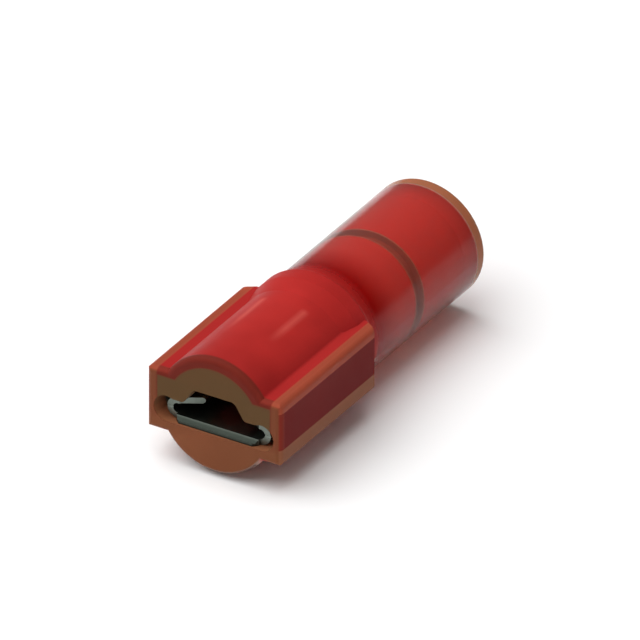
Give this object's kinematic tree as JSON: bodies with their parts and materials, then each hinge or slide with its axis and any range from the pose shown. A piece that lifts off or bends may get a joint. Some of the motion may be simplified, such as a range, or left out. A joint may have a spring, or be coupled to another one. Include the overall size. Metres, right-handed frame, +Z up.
{
  "type": "female spade terminal",
  "caption": "Fully insulated female spade terminal: a rolled receptacle and wire barrel inside a translucent red moulded housing, with an insulation support sleeve at the wire end.",
  "frame": {"origin": "on the barrel axis, in the plane of the mating face, at the middle of the receptacle opening", "axes": "+Y from the mating face to the wire entry, along the barrel axis; +X across the width of the tab; +Z up, away from the receptacle floor"},
  "size_m": [0.0074, 0.0197, 0.0068],
  "materials": {
    "nylon": "translucent red moulded nylon, satin",
    "tinned_brass": "tin-plated brass strip, satin",
    "tinned_copper": "tin-plated drawn copper, satin"
  },
  "bodies": {
    "root": {"housing": "nylon", "terminal": "tinned_brass", "insulation_sleeve": "tinned_copper"}
  },
  "joints": []
}
